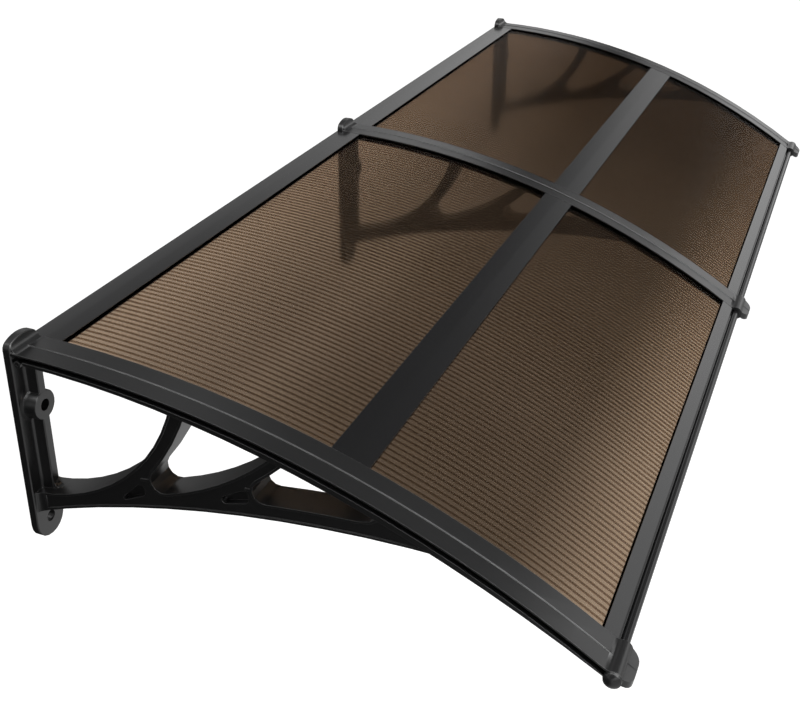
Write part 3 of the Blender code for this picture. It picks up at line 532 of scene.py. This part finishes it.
sheetFinishes = {
    "upperPolycarbonate": {
        "clear": (0.70, 0.635, 0.57, 1), "smoky": (0.64, 0.58, 0.52, 1), "roughness": (0.08, 0.12),
        "ior": 1.02, "ribShadeShare": 0.38, "grain": 60, "stretch": (1, 0.15, 1), "cloud": 4,
    },
    "lowerPolycarbonate": {
        "clear": (0.50, 0.42, 0.345, 1), "smoky": (0.46, 0.38, 0.31, 1), "roughness": (0.08, 0.12),
        "ior": 1.15, "ribShadeShare": 0.0, "grain": 60, "stretch": (1, 0.15, 1), "cloud": 4,
    },
}
# painted shade: a dark line over each rib, fainter near the wall and stronger towards the far end:
# the cosine across a pitch from the line's side to its middle, and strengths from one place to another
paintedRibShade = {
    "line": (0.0, 0.95),
    "alongY": (-0.04, -0.38),
    "strengthAlongY": (0.35, 1.0),
    "alongX": (-1.0, 0.6),
    "strengthAlongX": (0.0, 2.2),
    "innerEdge": (canopySizes["bracketSpacing"] - sheetSizes["width"]) / 2,
}


def makeFluteGroup(values):
    inputs = {"Pitch": "Float", "Dark Share": "Float"}
    group, given, result = newTree("fluteShadeLines", "ShaderNodeTree", inputs, {"Clearness": "Float"})
    parts = separate(group, objectPlace(group))
    # counted from the sheets' inner edges, which are equally far from the middle
    apart = mathNode(group, "SUBTRACT", mathNode(group, "ABSOLUTE", parts["X"]), values["innerEdge"])
    turn = mathNode(group, "FRACT", mathNode(group, "DIVIDE", apart, given["Pitch"]))
    cosine = mathNode(group, "COSINE", mathNode(group, "MULTIPLY", turn, 2 * math.pi))
    line = rangeNode(group, cosine, *values["line"], smooth=True)
    depth = rangeNode(group, parts["Y"], *values["alongY"], *values["strengthAlongY"], smooth=True)
    length = rangeNode(group, parts["X"], *values["alongX"], *values["strengthAlongX"], smooth=True)
    strength = mathNode(group, "MULTIPLY", depth, length)
    share = mathNode(group, "MULTIPLY", strength, given["Dark Share"])
    dark = mathNode(group, "MULTIPLY", line, share)
    group.links.new(mathNode(group, "SUBTRACT", 1, dark), result["Clearness"])
    return group


fluteGroup = makeFluteGroup(paintedRibShade)


def makeSheetFinish(name, values):
    material, tree, surface = newMaterial(name)
    shader = addNode(tree, "ShaderNodeBsdfPrincipled")
    shader.inputs["Transmission Weight"].default_value = 1.0
    shader.inputs["IOR"].default_value = values["ior"]
    grain = grainNode(tree, values)
    flutes = addNode(tree, "ShaderNodeGroup", node_tree=fluteGroup)
    flutes.inputs["Pitch"].default_value = ribPitch
    flutes.inputs["Dark Share"].default_value = values["ribShadeShare"]
    # painted shade: the sheet's colour darkens over each rib
    ribShadedColour = vectorNode(tree, "SCALE", mixColours(tree, grain["Cloud"], values["smoky"], values["clear"]))
    tree.links.new(flutes.outputs["Clearness"], ribShadedColour.inputs["Scale"])
    tree.links.new(ribShadedColour.outputs[0], shader.inputs["Base Color"])
    setRoughness(tree, shader, values, grain["Height"])
    tree.links.new(shader.outputs[0], surface)
    return material


materials = {name: makeFinish(name, values) for name, values in finishes.items()}
sheetMaterials = {name: makeSheetFinish(name, values) for name, values in sheetFinishes.items()}
print("finishes made")

# Ribbed sheets: two skins and the ribs between them, made flat and bent over the arc

sheetInputs = {
    "Width": "Float", "Pitch": "Float", "Cells": "Int", "Wave": "Float", "Wave Points": "Int",
    "Arc Points": "Int", "Skin": "Float", "Rib": "Float", "Clearance": "Float", "Thickness": "Float",
    "Below": "Float", "Arc Radius": "Float", "Axis Depth": "Float", "Axis Height": "Float",
    "Start Angle": "Float", "End Angle": "Float", "Centre": "Float", "Upper Material": "Material",
    "Lower Material": "Material",
}


def plate(tree, given, sizeX, sizeZ, pointsX):
    cube = addNode(tree, "GeometryNodeMeshCube")
    tree.links.new(combine(tree, sizeX, 1, sizeZ), cube.inputs["Size"])
    setInput(tree, cube.inputs["Vertices X"], pointsX)
    tree.links.new(given["Arc Points"], cube.inputs["Vertices Y"])
    return cube.outputs["Mesh"]


def shifted(tree, mesh, height):
    move = addNode(tree, "GeometryNodeSetPosition")
    tree.links.new(mesh, move.inputs["Geometry"])
    tree.links.new(combine(tree, z=height), move.inputs["Offset"])
    return move.outputs["Geometry"]


def makeUpperSkin(tree, given, x):
    # it sinks a little between the ribs
    fromEdge = mathNode(tree, "MULTIPLY_ADD", given["Width"], 0.5, x)
    turns = mathNode(tree, "DIVIDE", fromEdge, given["Pitch"])
    cosine = mathNode(tree, "COSINE", mathNode(tree, "MULTIPLY", turns, 2 * math.pi))
    halfWave = mathNode(tree, "MULTIPLY", given["Wave"], 0.5)
    sunk = mathNode(tree, "MULTIPLY", mathNode(tree, "SUBTRACT", cosine, 1), halfWave)
    halfSkin = mathNode(tree, "MULTIPLY", given["Skin"], 0.5)
    height = mathNode(tree, "SUBTRACT", sunk, mathNode(tree, "ADD", given["Below"], halfSkin))
    skin = shifted(tree, plate(tree, given, given["Width"], given["Skin"], given["Wave Points"]), height)
    paint = addNode(tree, "GeometryNodeSetMaterial")
    tree.links.new(skin, paint.inputs["Geometry"])
    tree.links.new(given["Upper Material"], paint.inputs["Material"])
    return paint.outputs[0]


def makeLowerSkin(tree, given):
    halfSkin = mathNode(tree, "MULTIPLY", given["Skin"], 0.5)
    height = mathNode(tree, "SUBTRACT", halfSkin, mathNode(tree, "ADD", given["Below"], given["Thickness"]))
    return shifted(tree, plate(tree, given, given["Width"], given["Skin"], 2), height)


def makeRibs(tree, given):
    inside = mathNode(tree, "MULTIPLY_ADD", given["Skin"], -2, given["Thickness"])
    ribHeight = mathNode(tree, "MULTIPLY_ADD", given["Clearance"], -2, inside)
    halfRib = mathNode(tree, "MULTIPLY", given["Rib"], 0.5)
    firstX = mathNode(tree, "MULTIPLY_ADD", given["Width"], -0.5, halfRib)
    middle = mathNode(tree, "MULTIPLY_ADD", given["Thickness"], 0.5, given["Below"])
    first = combine(tree, x=firstX, z=mathNode(tree, "MULTIPLY", middle, -1))
    line = addNode(tree, "GeometryNodeMeshLine")
    tree.links.new(mathNode(tree, "ADD", given["Cells"], 1), line.inputs["Count"])
    tree.links.new(first, line.inputs["Start Location"])
    tree.links.new(combine(tree, x=given["Pitch"]), line.inputs["Offset"])
    repeat = addNode(tree, "GeometryNodeInstanceOnPoints")
    tree.links.new(line.outputs["Mesh"], repeat.inputs["Points"])
    tree.links.new(plate(tree, given, given["Rib"], ribHeight, 2), repeat.inputs["Instance"])
    ribs = addNode(tree, "GeometryNodeRealizeInstances")
    tree.links.new(repeat.outputs[0], ribs.inputs[0])
    return ribs.outputs[0]


def bentOverArc(tree, given, mesh, x, y, z):
    share = mathNode(tree, "SUBTRACT", 0.5, y)
    span = mathNode(tree, "SUBTRACT", given["End Angle"], given["Start Angle"])
    angle = mathNode(tree, "MULTIPLY_ADD", share, span, given["Start Angle"])
    radius = mathNode(tree, "ADD", given["Arc Radius"], z)
    depth = mathNode(tree, "MULTIPLY_ADD", radius, mathNode(tree, "SINE", angle), given["Axis Depth"])
    height = mathNode(tree, "MULTIPLY_ADD", radius, mathNode(tree, "COSINE", angle), given["Axis Height"])
    across = mathNode(tree, "ADD", x, given["Centre"])
    bend = addNode(tree, "GeometryNodeSetPosition")
    tree.links.new(mesh, bend.inputs["Geometry"])
    place = combine(tree, across, mathNode(tree, "MULTIPLY", depth, -1), height)
    tree.links.new(place, bend.inputs["Position"])
    return bend.outputs[0]


def makeSheetTree():
    outputs = {"Geometry": "Geometry"}
    tree, given, result = newTree("twinWallSheet", "GeometryNodeTree", sheetInputs, outputs)
    x, y, z = separate(tree, addNode(tree, "GeometryNodeInputPosition").outputs[0])
    together = addNode(tree, "GeometryNodeJoinGeometry")
    for mesh in (makeUpperSkin(tree, given, x), makeLowerSkin(tree, given), makeRibs(tree, given)):
        tree.links.new(mesh, together.inputs[0])
    whole = addNode(tree, "GeometryNodeRealizeInstances")
    tree.links.new(bentOverArc(tree, given, together.outputs[0], x, y, z), whole.inputs[0])
    isUpper = addNode(tree, "GeometryNodeMaterialSelection")
    tree.links.new(given["Upper Material"], isUpper.inputs["Material"])
    isLower = addNode(tree, "FunctionNodeBooleanMath", operation="NOT")
    tree.links.new(isUpper.outputs[0], isLower.inputs[0])
    paint = addNode(tree, "GeometryNodeSetMaterial")
    tree.links.new(whole.outputs[0], paint.inputs["Geometry"])
    tree.links.new(given["Lower Material"], paint.inputs["Material"])
    tree.links.new(isLower.outputs[0], paint.inputs["Selection"])
    tree.links.new(paint.outputs[0], result["Geometry"])
    return tree


def fromTree(name, tree, inputs, sharpAngle):
    holder = newObject(name + "Holder", bpy.data.meshes.new(name + "Holder"))
    modifier = holder.modifiers.new("build", "NODES")
    modifier.node_group = tree
    sockets = {item.name: item.identifier for item in tree.interface.items_tree if item.in_out == "INPUT"}
    for label, value in inputs.items():
        modifier[sockets[label]] = value
    bpy.context.view_layer.update()
    evaluated = holder.evaluated_get(bpy.context.evaluated_depsgraph_get())
    mesh = bpy.data.meshes.new_from_object(evaluated)
    mesh.name = name
    bpy.data.objects.remove(holder, do_unlink=True)
    mesh.shade_smooth()
    mesh.set_sharp_from_angle(angle=math.radians(sharpAngle))
    return newObject(name, mesh)


def makeSheets(sizes):
    tree = makeSheetTree()
    for row, (start, end) in sizes["spans"].items():
        for side, way in sizes["sides"].items():
            inputs = {
                "Width": sizes["width"], "Pitch": ribPitch, "Cells": cells, "Wave": sizes["wave"],
                "Wave Points": cells * sizes["waveSteps"] + 1, "Arc Points": sizes["arcSteps"] + 1,
                "Skin": sizes["skin"], "Rib": sizes["rib"], "Clearance": sizes["clearance"],
                "Thickness": sizes["thickness"], "Below": sizes["below"], "Arc Radius": arcRadius,
                "Axis Depth": arcDepth, "Axis Height": arcHeight, "Start Angle": arcAngle(start),
                "End Angle": arcAngle(end), "Centre": way * canopySizes["bracketSpacing"] / 2,
                "Upper Material": sheetMaterials["upperPolycarbonate"],
                "Lower Material": sheetMaterials["lowerPolycarbonate"],
            }
            piece = fromTree(f"{row}Sheet{side.title()}", tree, inputs, sizes["sharpAngle"])
            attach(piece, "root")
            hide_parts(f"{row}_sheet_{side}")


makeSheets(sheetSizes)
print("sheets made")

# Brackets, bars, plugs and screws: smooth copies of the frame's own pieces

dressed = {
    "bracket": {"finish": "bracketPlastic", "slot": "bracket_plastic"},
    "bar": {"finish": "barCoating", "slot": "bar_coating"},
    "plug": {"finish": "plugPlastic", "slot": "plug_plastic"},
    "screw": {"finish": "screwZinc", "slot": "zinc_screw"},
}
# weld distance in metres, angles in degrees
smoothing = {"weld": 0.000002, "flatAngle": 0.3, "sharpAngle": 28, "faceWeight": 100}

# the fine rib along the middle of each arm's top, in finer steps than the arm's own
armRibs = {
    "ways": {"bracket_left": -1, "bracket_middle": 0, "bracket_right": 1},
    "halfWidth": 0.0013,
    "height": 0.00097,
    "sunk": 0.0010,
    "from": 0.006,
    "to": 0.7605,
    "steps": 96,
    "sides": 8,
}


def armRibOutline(values):
    outline = [(values["halfWidth"], -values["sunk"])]
    for i in range(values["sides"] + 1):
        turn = math.pi * i / values["sides"]
        outline.append((values["halfWidth"] * math.cos(turn), values["height"] * math.sin(turn)))
    outline.append((-values["halfWidth"], -values["sunk"]))
    return outline


def addArmRib(bm, centre, values):
    start = arcAngle(values["from"])
    end = arcAngle(values["to"])
    outline = armRibOutline(values)
    rings = []
    for i in range(values["steps"] + 1):
        angle = start + (end - start) * i / values["steps"]
        ring = []
        for across, up in outline:
            radius = arcRadius + up
            depth = arcDepth + radius * math.sin(angle)
            height = arcHeight + radius * math.cos(angle)
            ring.append(bm.verts.new((centre + across, -depth, height)))
        rings.append(ring)
    faces = [bm.faces.new(rings[0]), bm.faces.new(rings[-1])]
    for one, two in zip(rings, rings[1:]):
        for k in range(len(outline)):
            after = (k + 1) % len(outline)
            faces.append(bm.faces.new((one[k], one[after], two[after], two[k])))
    bmesh.ops.recalc_face_normals(bm, faces=faces)


def smoothCopy(node, source, look, values):
    bm = bmesh.new()
    bm.from_mesh(source.data)
    bmesh.ops.remove_doubles(bm, verts=bm.verts, dist=values["weld"])
    flat = math.radians(values["flatAngle"])
    bmesh.ops.dissolve_limit(bm, angle_limit=flat, verts=bm.verts, edges=bm.edges)
    if node in armRibs["ways"]:
        addArmRib(bm, armRibs["ways"][node] * canopySizes["bracketSpacing"], armRibs)
    mesh = meshFrom(bm, node + "Smooth")
    mesh.materials.append(materials[look["finish"]])
    mesh.shade_smooth()
    mesh.set_sharp_from_angle(angle=math.radians(values["sharpAngle"]))
    piece = newObject(node + "Smooth", mesh)
    weighted = piece.modifiers.new("evenFaces", "WEIGHTED_NORMAL")
    weighted.keep_sharp = True
    weighted.weight = values["faceWeight"]
    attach(piece, "root")
    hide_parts(node)


for node, source in nodes.items():
    for word, look in dressed.items():
        if word in node:
            smoothCopy(node, source, look, smoothing)
print("brackets, bars, plugs and screws dressed")
